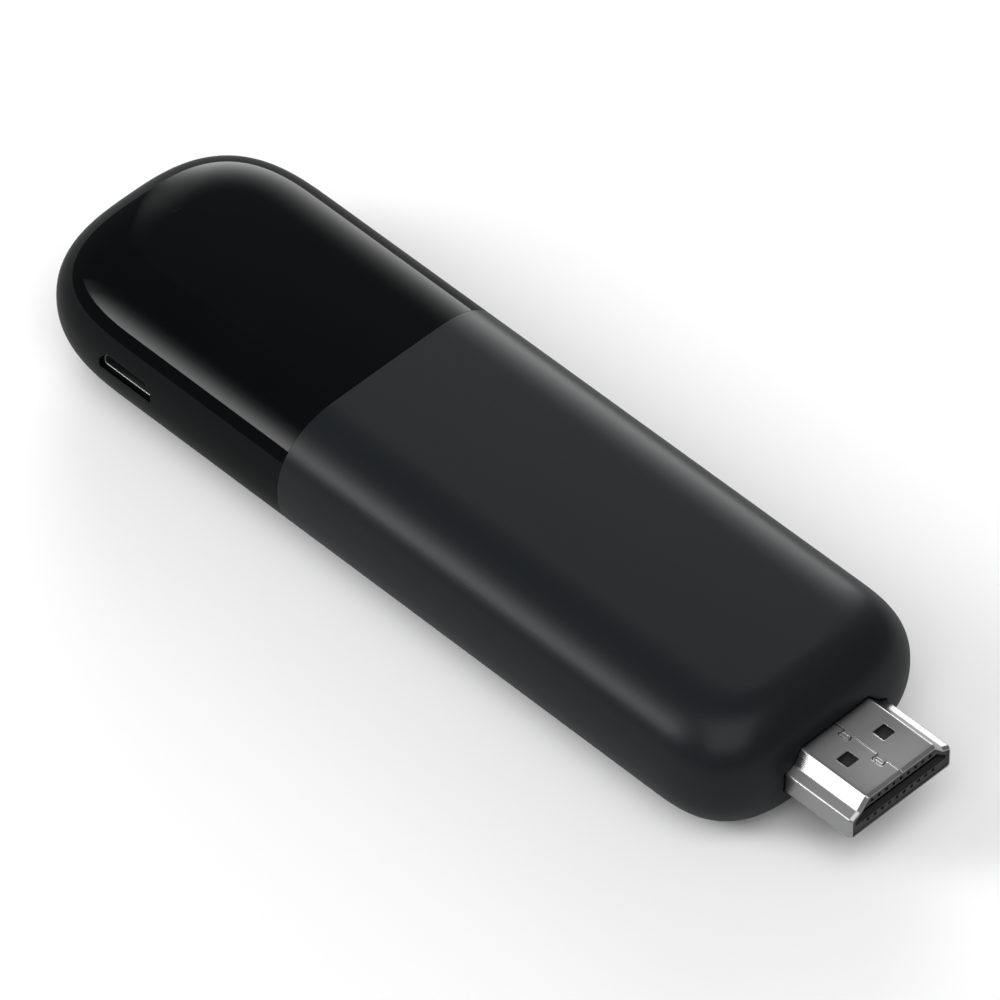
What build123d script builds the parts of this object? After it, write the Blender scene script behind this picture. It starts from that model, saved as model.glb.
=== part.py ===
import os
from math import cos, pi, sin

from build123d import *

# A television streaming stick: a glossy end cap and a matte sleeve closed over a tray that carries the
# circuit board, with a rigid audio-video plug at one end and a power socket in the side.
# Millimetres. The origin is under the middle of the stick, on the surface it lies on.
# +X runs to the plug, +Y across the stick, +Z up. The power socket is in the -Y side.

# Housing outline, as seen from above and from the end
body_length = 100.3
body_width = 30.5
body_height = 14.8
side_band = 0.8
squareness = 2.8
tail_corner = 8.8
shoulder_corner_x = 5.0
shoulder_corner_y = 6.2
housing_wall = 1.6

# Joint between the glossy cap and the matte sleeve
cap_length = 38.45
lap_length = 4.2
lap_wall = 0.75
lap_gap = 0.1
snap_width = 4.0
snap_length = 1.2
snap_height = 0.25
snap_offset_y = 4.6
snap_gap = 0.1

# Audio-video plug, with heights measured up from its wide face
plug_reach = 8.4
plug_rise = 0.52
plug_width = 13.9
plug_height = 4.45
plug_side_z = 2.6
plug_shoulder_z = 3.15
plug_shoulder_y = 5.85
plug_top_half = 4.65
plug_corner = 0.3
plug_sheet = 0.3
plug_lead_in = 0.2
plug_lead_length = 0.35
plug_depth_inside = 6.2
plug_opening_gap = 0.12
window_length = 1.55
window_width = 1.65
window_setback = 4.8
window_offset_y = 2.5
window_corner = 0.15
seam_gap = 0.08
dovetail_neck = 1.05
dovetail_head = 1.5
dovetail_reach = 0.85
dovetail_round = 0.2
dovetail_setbacks = (2.6, 7.1)
stake_length = 1.0
stake_width = 0.3
stake_depth = 0.1
stake_offset_y = 0.42
plug_leg_length = 4.2
plug_leg_height = 1.4
plug_leg_base = 0.9

# Plug insulator and its contacts
insulator_gap = 0.03
insulator_recess = 0.1
slot_low = 1.95
slot_high = 3.05
slot_low_half = 6.2
slot_high_half = 4.95
slot_depth = 7.2
slot_lead_in = 0.45
contact_pitch = 1.0
wide_side_count = 10
narrow_side_count = 9
contact_width = 0.3
contact_sheet = 0.15
contact_setback = 0.25
contact_bend = 0.2
contact_dimple = 0.45
contact_dimple_setback = 3.2
contact_tail = 2.4
groove_width = 0.42
groove_front_wall = 0.5
wide_groove_depth = 0.95
narrow_groove_depth = 0.65
cavity_size = 0.38

# Tray, collar, board and screws
slide_gap = 0.15
tray_wall = 1.6
tray_rim = 0.6
board_thickness = 1.0
board_gap = 0.15
board_front_gap = 0.5
collar_width = 18.0
collar_height = 8.0
collar_setback = 1.2
fit_gap = 0.05
boss_radius = 1.8
screw_radius = 0.75
screw_head_radius = 1.35
screw_head_height = 0.7
screw_length = 4.5
screw_hole_gap = 0.1
screw_cross_width = 0.4
screw_cross_length = 1.6
screw_cross_depth = 0.35
screw_from_board_edge = 2.3
front_screw_setback = 5.2
rear_screw_from_tail = 27.0

# Power socket in the side of the cap
socket_from_tail = 16.7
socket_width = 7.3
socket_height = 2.2
socket_side_height = 1.1
socket_top_width = 5.6
socket_sheet = 0.25
socket_depth = 5.0
socket_recess = 0.65
socket_channel_wall = 0.45
socket_gap = 0.1
socket_tab_length = 1.2
socket_tab_reach = 0.9
socket_tongue_width = 3.9
socket_tongue_thickness = 0.6
socket_tongue_length = 3.2
socket_back_wall = 1.1
socket_contact_count = 5
socket_contact_pitch = 0.65
socket_contact_width = 0.35
socket_contact_sheet = 0.12
socket_contact_tail = 1.3

# Shields, pads and heat spreaders
shield_sheet = 0.2
shield_rim = 0.8
lid_skirt = 1.0
lid_gap = 0.04
shield_front_setback = 11.0
upper_shield_length = 40.0
upper_shield_width = 17.4
upper_shield_height = 1.9
lower_shield_length = 34.0
lower_shield_width = 15.4
lower_shield_height = 1.5
pad_margin = 1.5
upper_pad_thickness = 0.8
lower_pad_thickness = 0.9
spreader_top_gap = 0.35
spreader_overhang = 3.0
spreader_side_step = 0.3
spreader_groove_count = 5
spreader_groove_width = 1.0
spreader_groove_depth = 0.5

# Chips and small parts
solder_gap = 0.05
processor_size = 14.0
processor_height = 1.2
processor_setback = 10.0
memory_length = 11.0
memory_width = 7.0
memory_height = 1.0
memory_setback = 24.5
flash_length = 13.0
flash_width = 11.5
flash_height = 0.9
power_chip_size = 4.5
power_chip_height = 0.85
inductor_size = 3.2
inductor_height = 1.5
inductor_count = 2
inductor_pitch = 4.4
supply_setback = 35.5
crystal_length = 3.2
crystal_width = 2.5
crystal_height = 0.8
crystal_offset = 9.5
capacitor_length = 1.0
capacitor_width = 0.5
capacitor_height = 0.5
capacitor_pitch = 1.7
capacitor_count = 7
capacitor_clearance = 1.0
radio_length = 12.0
radio_width = 10.0
radio_base_height = 0.6
radio_can_height = 1.1
radio_can_margin = 0.6
radio_from_tail = 18.5
radio_offset_y = 3.5

# Aerials at the tail corners
aerial_sheet = 0.3
aerial_length = 7.0
aerial_arm = 2.0
aerial_height = 2.0
aerial_from_tail = 8.6
aerial_offset_y = 7.2

# Places that follow from the sizes above
edge_radius = (body_height - side_band) / 2
tail_depth = edge_radius + tail_corner
shoulder_depth_x = edge_radius + shoulder_corner_x
shoulder_depth_y = edge_radius + shoulder_corner_y
overall_length = body_length + plug_reach
tail_x = -overall_length / 2
body_end_x = tail_x + body_length
plug_front_x = body_end_x + plug_reach
plug_back_x = body_end_x - plug_depth_inside
seam_x = tail_x + cap_length
lap_mid_x = seam_x + lap_length / 2
plug_mid_z = body_height / 2 + plug_rise
plug_base_z = plug_mid_z - plug_height / 2
board_low = plug_mid_z - board_thickness / 2
board_top = board_low + board_thickness
board_front_x = plug_back_x - board_front_gap
tray_inset = housing_wall + slide_gap
tray_floor_z = tray_inset + tray_wall
board_inset = tray_inset + tray_rim + board_gap
board_half_width = body_width / 2 - board_inset
ceiling_z = body_height - housing_wall
socket_x = tail_x + socket_from_tail
socket_base_z = plug_mid_z - socket_height / 2
socket_front_y = -(body_width / 2 - socket_recess)
socket_back_y = socket_front_y + socket_depth
shield_front_x = board_front_x - shield_front_setback


def corner_points(centre_x, centre_y, reach_x, reach_y, turn_x, turn_y, steps=8):
    """Points of a quarter superellipse, from its end on the X side to its end on the Y side."""
    power = 2 / squareness
    angles = [pi / 2 * k / steps for k in range(steps + 1)]
    return [
        (
            centre_x + turn_x * reach_x * max(cos(a), 0) ** power,
            centre_y + turn_y * reach_y * sin(a) ** power,
        )
        for a in angles
    ]


def plan_outline(inset):
    """The stick's outline from above, drawn in by an inset: a rounded square tail and a blunt plug end."""
    half = body_width / 2 - inset
    tail_reach = tail_depth - inset
    left, right = tail_x + tail_depth, body_end_x - shoulder_depth_x
    flat = body_width / 2 - shoulder_depth_y
    with BuildSketch(Plane.XY) as outline:
        with BuildLine():
            blunt_ends = []
            for side in (1, -1):
                Line((left, side * half), (right, side * half))
                reach_x, reach_y = shoulder_depth_x - inset, shoulder_depth_y - inset
                blunt = corner_points(right, side * flat, reach_x, reach_y, 1, side)
                Spline(*blunt, tangents=[(0, side), (-1, 0)])
                blunt_ends.append(blunt[0])
                tail = corner_points(left, 0, tail_reach, half, -1, side)
                Spline(*tail, tangents=[(0, side), (1, 0)])
            Line(*blunt_ends)
        make_face()
    return outline.sketch


def pillow(inset):
    """The housing's full rounded form, drawn in by an inset on every side."""
    with BuildPart() as form:
        with BuildSketch(Plane.XY.offset(inset)):
            add(plan_outline(inset))
        extrude(amount=body_height - 2 * inset)
        rims = form.edges().group_by(Axis.Z)
        fillet(rims[0] + rims[-1], radius=edge_radius - inset)
    return form.part


def slab(low_x, high_x, low_y, high_y, low_z, high_z):
    """A plain block given by its six sides."""
    with BuildPart() as block:
        with BuildSketch(Plane.XY.offset(low_z)):
            with Locations(((low_x + high_x) / 2, (low_y + high_y) / 2)):
                Rectangle(high_x - low_x, high_y - low_y)
        extrude(amount=high_z - low_z)
    return block.part


def centred_block(centre_x, centre_y, length, width, low_z, height):
    """A plain block given by its middle, its size and its underside."""
    half_length, half_width = length / 2, width / 2
    return slab(
        centre_x - half_length, centre_x + half_length, centre_y - half_width, centre_y + half_width,
        low_z, low_z + height,
    )


def between(low_x, high_x):
    """A block that takes in the whole stick between two places along it."""
    return slab(low_x, high_x, -body_width, body_width, -body_height, 2 * body_height)


def export(part, name):
    """Labels a finished piece and writes it."""
    part.label = name
    export_step(part, os.path.join("parts", name + ".step"))


os.makedirs("parts", exist_ok=True)

# Rounded forms that the housing, the tray and the collar are cut from
outer_form = pillow(0)
cavity_form = pillow(housing_wall)
lap_form = pillow(lap_wall)
spigot_form = pillow(lap_wall + lap_gap)
tray_form = pillow(tray_inset)
tray_hollow = pillow(tray_inset + tray_wall)


def profile_face(corners, inset, corner_radius):
    """A closed profile of straight sides, drawn in by an inset, with its corners rounded."""
    with BuildSketch(Plane.XY) as profile:
        with BuildLine():
            Polyline(*corners, close=True)
        make_face()
        if inset:
            offset(amount=-inset, kind=Kind.INTERSECTION)
        if corner_radius:
            fillet(profile.vertices(), radius=corner_radius)
    return profile.sketch


def plug_profile(inset, corner_radius=plug_corner):
    """The plug's section in Y and Z: full width below, shoulders in two slopes above."""
    half = plug_width / 2
    right_side = [
        (half, plug_base_z), (half, plug_base_z + plug_side_z),
        (plug_shoulder_y, plug_base_z + plug_shoulder_z), (plug_top_half, plug_base_z + plug_height),
    ]
    left_side = [(-y, z) for y, z in reversed(right_side)]
    return profile_face(right_side + left_side, inset, corner_radius)


def socket_profile(inset, corner_radius=socket_sheet):
    """The power socket's section in X and Z: full width below, sloping in above."""
    half, top_half = socket_width / 2, socket_top_width / 2
    side_z, top_z = socket_base_z + socket_side_height, socket_base_z + socket_height
    corners = [
        (socket_x + half, socket_base_z), (socket_x + half, side_z), (socket_x + top_half, top_z),
        (socket_x - top_half, top_z), (socket_x - half, side_z), (socket_x - half, socket_base_z),
    ]
    return profile_face(corners, inset, corner_radius)


def snap_beads(grow, low_inset, high_inset):
    """The four snap beads of the lap joint, two above and two below, or their pockets when grown."""
    with BuildPart() as beads:
        for low_z in (low_inset, body_height - high_inset):
            with BuildSketch(Plane.XY.offset(low_z)):
                with Locations((lap_mid_x, snap_offset_y), (lap_mid_x, -snap_offset_y)):
                    Rectangle(snap_length + 2 * grow, snap_width + 2 * grow)
            extrude(amount=high_inset - low_inset)
    return beads.part


# Glossy end cap: a spigot with snap beads slides into the sleeve, and a channel inside lets the socket in
with BuildPart() as cap_spigot:
    add(spigot_form)
    add(between(seam_x, seam_x + lap_length - lap_gap), mode=Mode.INTERSECT)

with BuildPart() as socket_channel:
    add(pillow(socket_channel_wall))
    add(
        slab(
            socket_x - socket_width / 2 - socket_gap, seam_x + lap_length,
            -body_width, socket_back_y,
            socket_base_z - socket_gap, socket_base_z + socket_height + socket_gap,
        ),
        mode=Mode.INTERSECT,
    )

with BuildPart() as gloss_end_cap:
    add(outer_form)
    add(between(tail_x - housing_wall, seam_x), mode=Mode.INTERSECT)
    add(cap_spigot.part)
    add(snap_beads(0, lap_wall + lap_gap - snap_height, housing_wall))
    add(cavity_form, mode=Mode.SUBTRACT)
    add(socket_channel.part, mode=Mode.SUBTRACT)
    with BuildSketch(Plane.XZ):
        add(socket_profile(0))
    extrude(amount=body_width, mode=Mode.SUBTRACT)
export(gloss_end_cap.part, "gloss_end_cap")

# Matte sleeve: counterbored for the cap's spigot, and closed round the plug at its far end
with BuildPart() as lap_counterbore:
    add(lap_form)
    add(between(seam_x - lap_gap, seam_x + lap_length), mode=Mode.INTERSECT)
    add(snap_beads(snap_gap, lap_wall - snap_height, lap_wall + lap_gap))

with BuildPart() as matte_sleeve:
    add(outer_form)
    add(between(seam_x, body_end_x + housing_wall), mode=Mode.INTERSECT)
    add(cavity_form, mode=Mode.SUBTRACT)
    add(lap_counterbore.part, mode=Mode.SUBTRACT)
    with BuildSketch(Plane.YZ.offset(plug_back_x)):
        add(plug_profile(-plug_opening_gap))
    extrude(amount=overall_length, mode=Mode.SUBTRACT)
export(matte_sleeve.part, "matte_sleeve")

# Plug shell: a folded sheet tube, with two latch windows and a dovetailed seam staked at each tab on its top
plug_outside = plug_profile(0)
plug_top_z = plug_base_z + plug_height
seam_points = [(plug_back_x, 0)]
for setback in sorted(dovetail_setbacks, reverse=True):
    tab_x = plug_front_x - setback
    neck, head = dovetail_neck / 2, dovetail_head / 2
    seam_points += [
        (tab_x - neck, 0), (tab_x - head, -dovetail_reach),
        (tab_x + head, -dovetail_reach), (tab_x + neck, 0),
    ]
seam_points.append((plug_front_x, 0))

with BuildPart() as plug_shell:
    with BuildSketch(Plane.YZ.offset(plug_back_x)):
        add(plug_outside)
    extrude(amount=plug_front_x - plug_lead_length - plug_back_x)
    with BuildSketch(Plane.YZ.offset(plug_front_x - plug_lead_length)):
        add(plug_outside)
    with BuildSketch(Plane.YZ.offset(plug_front_x)):
        add(plug_profile(plug_lead_in))
    loft()
    with BuildSketch(Plane.YZ.offset(plug_back_x)):
        add(plug_profile(plug_sheet, corner_radius=plug_corner / 2))
    extrude(amount=overall_length, mode=Mode.SUBTRACT)
    with BuildSketch(Plane.XY.offset(plug_top_z)):
        with Locations(*[(plug_front_x - window_setback, y) for y in (window_offset_y, -window_offset_y)]):
            RectangleRounded(window_length, window_width, window_corner)
    extrude(amount=-2 * plug_sheet, mode=Mode.SUBTRACT)
    with BuildSketch(Plane.XY.offset(plug_top_z)):
        with BuildLine():
            FilletPolyline(*seam_points, radius=dovetail_round)
        trace(line_width=seam_gap)
    extrude(amount=-2 * plug_sheet, mode=Mode.SUBTRACT)
    with BuildSketch(Plane.XY.offset(plug_top_z)):
        with Locations(*[(plug_front_x - setback, -stake_offset_y) for setback in dovetail_setbacks]):
            SlotOverall(stake_length, stake_width)
    extrude(amount=-stake_depth, mode=Mode.SUBTRACT)
    for low_y in (-plug_width / 2, plug_width / 2 - plug_sheet):
        add(
            slab(
                plug_back_x - plug_leg_length, plug_back_x, low_y, low_y + plug_sheet,
                plug_base_z + plug_leg_base, plug_base_z + plug_leg_base + plug_leg_height,
            )
        )
export(plug_shell.part, "plug_shell")


def bent_strip(path, sheet, width, plane, bend):
    """A strip of sheet metal bent along a path on a plane, centred on it."""
    with BuildPart() as strip:
        with BuildSketch(plane):
            with BuildLine():
                FilletPolyline(*path, radius=bend)
            trace(line_width=sheet)
        extrude(amount=width / 2, both=True)
    return strip.part


def row_of(count, pitch):
    """The places of a row of pieces about its middle."""
    return [(k - (count - 1) / 2) * pitch for k in range(count)]


def plug_contacts(count, groove_floor_z, inward, pad_z):
    """A row of bent contacts in the plug, each from its tip by the mouth back to its pad on the board."""
    rest_z = groove_floor_z + inward * contact_sheet / 2
    crown_x = plug_front_x - contact_dimple_setback
    tail_end_x = plug_back_x - contact_tail
    path = [
        (plug_front_x - contact_setback, rest_z),
        (crown_x + 2 * contact_dimple, rest_z),
        (crown_x, rest_z + inward * contact_dimple),
        (crown_x - 2 * contact_dimple, rest_z),
        (plug_back_x - solder_gap, rest_z),
        (plug_back_x - board_front_gap, pad_z),
        (tail_end_x, pad_z),
    ]
    with BuildPart() as row:
        for y in row_of(count, contact_pitch):
            add(bent_strip(path, contact_sheet, contact_width, Plane.XZ.offset(-y), contact_bend))
    return row.part


# Spring contacts: ten along the plug's wide face and nine along its narrow one, soldered to the board
wide_groove_floor = plug_base_z + slot_low - wide_groove_depth
narrow_groove_floor = plug_base_z + slot_high + narrow_groove_depth
wide_pad_z = board_low - solder_gap - contact_sheet / 2
narrow_pad_z = board_top + solder_gap + contact_sheet / 2
wide_side_contacts = plug_contacts(wide_side_count, wide_groove_floor, 1, wide_pad_z)
narrow_side_contacts = plug_contacts(narrow_side_count, narrow_groove_floor, -1, narrow_pad_z)
export(wide_side_contacts, "wide_side_contacts")
export(narrow_side_contacts, "narrow_side_contacts")

# Plug insulator: a moulded block with a tongue slot, contact grooves and square tip cavities in its face
insulator_front_x = plug_front_x - insulator_recess
slot_end_x = insulator_front_x - slot_depth
cavity_depth = groove_front_wall + contact_sheet
with BuildPart() as plug_insulator:
    with BuildSketch(Plane.YZ.offset(plug_back_x)):
        add(plug_profile(plug_sheet + insulator_gap, corner_radius=plug_corner / 2))
    extrude(amount=insulator_front_x - plug_back_x)
    with BuildSketch(Plane.YZ.offset(slot_end_x)):
        with BuildLine():
            low_z, high_z = plug_base_z + slot_low, plug_base_z + slot_high
            Polyline(
                (-slot_low_half, low_z), (slot_low_half, low_z),
                (slot_high_half, high_z), (-slot_high_half, high_z), close=True,
            )
        make_face()
    extrude(amount=overall_length, mode=Mode.SUBTRACT)
    with BuildSketch(Plane.XZ):
        with BuildLine():
            Polyline(
                (insulator_front_x, low_z - slot_lead_in), (insulator_front_x, low_z),
                (insulator_front_x - slot_lead_in, low_z), close=True,
            )
        make_face()
    extrude(amount=slot_low_half, both=True, mode=Mode.SUBTRACT)
    groove_back, groove_front = slot_end_x, insulator_front_x - groove_front_wall
    groove_length, groove_mid_x = groove_front - groove_back, (groove_front + groove_back) / 2
    sides = (
        (wide_side_count, wide_groove_floor, low_z, 1),
        (narrow_side_count, high_z, narrow_groove_floor, -1),
    )
    for count, bottom_z, top_z, inward in sides:
        tip_z = bottom_z if inward > 0 else top_z - cavity_size
        for y in row_of(count, contact_pitch):
            add(
                centred_block(groove_mid_x, y, groove_length, groove_width, bottom_z, top_z - bottom_z),
                mode=Mode.SUBTRACT,
            )
            add(
                centred_block(insulator_front_x, y, 2 * cavity_depth, cavity_size, tip_z, cavity_size),
                mode=Mode.SUBTRACT,
            )
    add(wide_side_contacts, mode=Mode.SUBTRACT)
    add(narrow_side_contacts, mode=Mode.SUBTRACT)
export(plug_insulator.part, "plug_insulator")

# Plug collar: a moulded block round the plug, behind the sleeve's front wall
collar_back_x = plug_back_x + collar_setback
with BuildPart() as plug_collar:
    add(tray_form)
    add(
        slab(
            collar_back_x, body_end_x, -collar_width / 2, collar_width / 2,
            plug_mid_z - collar_height / 2, plug_mid_z + collar_height / 2,
        ),
        mode=Mode.INTERSECT,
    )
    with BuildSketch(Plane.YZ.offset(plug_back_x)):
        add(plug_profile(-fit_gap))
    extrude(amount=overall_length, mode=Mode.SUBTRACT)
export(plug_collar.part, "plug_collar")

# Board tray: a moulded dish with a ledge for the board, four screw bosses, and a pocket for the collar
front_screw_x = board_front_x - front_screw_setback
rear_screw_x = tail_x + rear_screw_from_tail
screw_y = board_half_width - screw_from_board_edge
screw_places = [(x, y) for x in (rear_screw_x, front_screw_x) for y in (-screw_y, screw_y)]
bore_depth = screw_length - board_thickness + screw_hole_gap
with BuildPart() as board_tray:
    add(tray_form)
    add(tray_hollow, mode=Mode.SUBTRACT)
    with BuildSketch(Plane.XY.offset(tray_inset)):
        with Locations(*screw_places):
            Circle(boss_radius)
    extrude(amount=board_low - tray_inset)
    with BuildSketch(Plane.XY.offset(board_low)):
        add(plan_outline(tray_inset + tray_rim))
    extrude(amount=body_height, mode=Mode.SUBTRACT)
    add(slab(tail_x, body_end_x, -body_width, body_width, board_top, body_height), mode=Mode.SUBTRACT)
    add(tray_form, mode=Mode.INTERSECT)
    with BuildSketch(Plane.XY.offset(board_low)):
        with Locations(*screw_places):
            Circle(screw_radius)
    extrude(amount=-bore_depth, mode=Mode.SUBTRACT)
    add(
        slab(
            collar_back_x - fit_gap, body_end_x, -collar_width / 2 - fit_gap, collar_width / 2 + fit_gap,
            plug_mid_z - collar_height / 2 - fit_gap, body_height,
        ),
        mode=Mode.SUBTRACT,
    )
    add(
        slab(
            socket_x - socket_width / 2 - socket_gap, socket_x + socket_width / 2 + socket_gap,
            -body_width, socket_back_y, socket_base_z - socket_gap, body_height,
        ),
        mode=Mode.SUBTRACT,
    )
export(board_tray.part, "board_tray")

# Main board: notched for the socket and for the plug shell's two legs, with four screw holes
leg_slot_length = plug_leg_length - board_front_gap + socket_gap
with BuildPart() as main_board:
    with BuildSketch(Plane.XY.offset(board_low)):
        add(plan_outline(board_inset))
        with Locations((board_front_x + body_length / 2, 0)):
            Rectangle(body_length, body_width, mode=Mode.SUBTRACT)
        with Locations(*screw_places):
            Circle(screw_radius + screw_hole_gap, mode=Mode.SUBTRACT)
        with Locations((socket_x, socket_back_y + socket_gap)):
            notch = (socket_width + 2 * socket_gap, body_width)
            Rectangle(*notch, align=(Align.CENTER, Align.MAX), mode=Mode.SUBTRACT)
        leg_y = (plug_width - plug_sheet) / 2
        with Locations((board_front_x, leg_y), (board_front_x, -leg_y)):
            leg_slot = (leg_slot_length, plug_sheet + 2 * fit_gap)
            Rectangle(*leg_slot, align=(Align.MAX, Align.CENTER), mode=Mode.SUBTRACT)
    extrude(amount=board_thickness)
export(main_board.part, "main_board")

# Board screws: four cross-headed screws that cut their threads in the tray's bosses
with BuildPart() as board_screws:
    with BuildSketch(Plane.XY.offset(board_top - screw_length)):
        with Locations(*screw_places):
            Circle(screw_radius)
    extrude(amount=screw_length)
    with BuildSketch(Plane.XY.offset(board_top)):
        with Locations(*screw_places):
            Circle(screw_head_radius)
    extrude(amount=screw_head_height)
    head_rims = board_screws.edges().filter_by(GeomType.CIRCLE).group_by(Axis.Z)[-1]
    chamfer(head_rims, length=screw_cross_width / 2)
    with BuildSketch(Plane.XY.offset(board_top + screw_head_height)):
        with Locations(*screw_places):
            Rectangle(screw_cross_length, screw_cross_width)
            Rectangle(screw_cross_width, screw_cross_length)
    extrude(amount=-screw_cross_depth, mode=Mode.SUBTRACT)
export(board_screws.part, "board_screws")

# Power socket shell: a folded sheet tube in the board's notch, with four tabs soldered to the board
with BuildPart() as power_socket_shell:
    with BuildSketch(Plane.XZ.offset(-socket_back_y)):
        add(socket_profile(0))
    extrude(amount=socket_depth)
    for low_y in (socket_back_y - socket_tab_length, fit_gap - board_half_width):
        tab_y = low_y + socket_tab_length / 2
        tab_span = socket_width + 2 * socket_tab_reach
        add(centred_block(socket_x, tab_y, tab_span, socket_tab_length, board_top, socket_sheet))
    with BuildSketch(Plane.XZ.offset(-socket_back_y)):
        add(socket_profile(socket_sheet, corner_radius=socket_sheet / 2))
    extrude(amount=socket_depth, mode=Mode.SUBTRACT)
export(power_socket_shell.part, "power_socket_shell")

# Power socket contacts: five strips on the tongue, with their tails soldered to the board's top
tongue_mid_z = socket_base_z + socket_height / 2
socket_rest_z = tongue_mid_z + (socket_tongue_thickness + socket_contact_sheet) / 2
socket_pad_z = board_top + solder_gap + socket_contact_sheet / 2
socket_wall_front_y = socket_back_y - socket_back_wall
socket_contact_path = [
    (socket_wall_front_y - socket_tongue_length + socket_contact_tail / 2, socket_rest_z),
    (socket_back_y, socket_rest_z),
    (socket_back_y + 2 * socket_gap, socket_pad_z),
    (socket_back_y + socket_contact_tail, socket_pad_z),
]
with BuildPart() as power_socket_contacts:
    for offset_x in row_of(socket_contact_count, socket_contact_pitch):
        add(
            bent_strip(
                socket_contact_path, socket_contact_sheet, socket_contact_width,
                Plane.YZ.offset(socket_x + offset_x), socket_contact_sheet,
            )
        )
export(power_socket_contacts.part, "power_socket_contacts")

# Power socket tongue: the moulded back wall of the socket and the tongue that carries the contacts
with BuildPart() as power_socket_tongue:
    with BuildSketch(Plane.XZ.offset(-socket_back_y)):
        add(socket_profile(socket_sheet + insulator_gap, corner_radius=socket_sheet / 2))
    extrude(amount=socket_back_wall)
    add(
        centred_block(
            socket_x, socket_wall_front_y - socket_tongue_length / 2, socket_tongue_width,
            socket_tongue_length, tongue_mid_z - socket_tongue_thickness / 2, socket_tongue_thickness,
        )
    )
    add(power_socket_contacts.part, mode=Mode.SUBTRACT)
export(power_socket_tongue.part, "power_socket_tongue")


def board_block(places, length, width, height, upper=True):
    """Soldered blocks on the board's top, or on its underside, one at each place."""
    base_z = board_top + solder_gap if upper else board_low - solder_gap - height
    with BuildPart() as blocks:
        with BuildSketch(Plane.XY.offset(base_z)):
            with Locations(*places):
                Rectangle(length, width)
        extrude(amount=height)
    return blocks.part


# Chips under the shields: processor, memory and supply chips above the board, flash memory below it
processor_x = shield_front_x - processor_setback
memory_x = shield_front_x - memory_setback
supply_x = shield_front_x - supply_setback
memory_y = memory_width / 2 + solder_gap
memory_places = [(memory_x, -memory_y), (memory_x, memory_y)]
lower_shield_x = shield_front_x - upper_shield_length / 2
export(board_block([(processor_x, 0)], processor_size, processor_size, processor_height), "processor")
export(board_block(memory_places, memory_length, memory_width, memory_height), "memory_chips")
export(
    board_block([(supply_x, -inductor_pitch)], power_chip_size, power_chip_size, power_chip_height),
    "power_chip",
)
export(board_block([(lower_shield_x, 0)], flash_length, flash_width, flash_height, upper=False), "flash_chip")

# Small parts: coils by the supply chip, crystals by the flash chip, capacitors in rows by the big chips
inductor_places = [(supply_x, k * inductor_pitch) for k in range(inductor_count)]
crystal_places = [(lower_shield_x + reach, 0) for reach in (-crystal_offset, crystal_offset)]
capacitor_rows = [
    processor_x + processor_size / 2 + capacitor_clearance,
    processor_x - processor_size / 2 - capacitor_clearance,
    memory_x - memory_length / 2 - capacitor_clearance,
]
capacitor_places = [(x, y) for x in capacitor_rows for y in row_of(capacitor_count, capacitor_pitch)]
export(board_block(inductor_places, inductor_size, inductor_size, inductor_height), "inductors")
export(board_block(crystal_places, crystal_length, crystal_width, crystal_height, upper=False), "crystals")
export(board_block(capacitor_places, capacitor_length, capacitor_width, capacitor_height), "capacitors")

# Radio module: a small board of its own under a formed can, near the tail
radio_x = tail_x + radio_from_tail
radio_base = board_block([(radio_x, radio_offset_y)], radio_length, radio_width, radio_base_height)
export(radio_base, "radio_module")
radio_can_z = board_top + solder_gap + radio_base_height
with BuildPart() as radio_can:
    can_length, can_width = radio_length - radio_can_margin, radio_width - radio_can_margin
    add(centred_block(radio_x, radio_offset_y, can_length, can_width, radio_can_z, radio_can_height))
    fillet(radio_can.edges().filter_by(Axis.Z), radius=radio_can_margin)
    hollow = (can_length - 2 * shield_sheet, can_width - 2 * shield_sheet)
    hollow_height = radio_can_height - shield_sheet
    add(centred_block(radio_x, radio_offset_y, *hollow, radio_can_z, hollow_height), mode=Mode.SUBTRACT)
export(radio_can.part, "radio_can")

# Aerials: a stamped plate over each tail corner of the board, standing on two bent legs
aerial_x = tail_x + aerial_from_tail
aerial_base_z = board_top + solder_gap
for name, aerial_y in (("left_aerial", aerial_offset_y), ("right_aerial", -aerial_offset_y)):
    with BuildPart() as aerial:
        add(
            centred_block(
                aerial_x, aerial_y, aerial_length, aerial_arm,
                aerial_base_z + aerial_height - aerial_sheet, aerial_sheet,
            )
        )
        for leg_x in (aerial_x + (aerial_length - aerial_sheet) / 2, aerial_x + aerial_sheet):
            leg_width = aerial_arm / 2
            add(centred_block(leg_x, aerial_y, aerial_sheet, leg_width, aerial_base_z, aerial_height))
    export(aerial.part, name)


def shield_frame(centre_x, length, width, height, facing):
    """A sheet-metal fence round the chips with an inward rim, facing up (1) or down (-1)."""
    base_z = board_top + solder_gap if facing > 0 else board_low - solder_gap - height
    inside_z = base_z if facing > 0 else base_z + shield_sheet
    inside = (length - 2 * shield_sheet, width - 2 * shield_sheet, inside_z, height - shield_sheet)
    with BuildPart() as frame:
        add(centred_block(centre_x, 0, length, width, base_z, height))
        add(centred_block(centre_x, 0, *inside), mode=Mode.SUBTRACT)
        window = (length - 2 * shield_rim, width - 2 * shield_rim, base_z, height)
        add(centred_block(centre_x, 0, *window), mode=Mode.SUBTRACT)
    return frame.part


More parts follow.
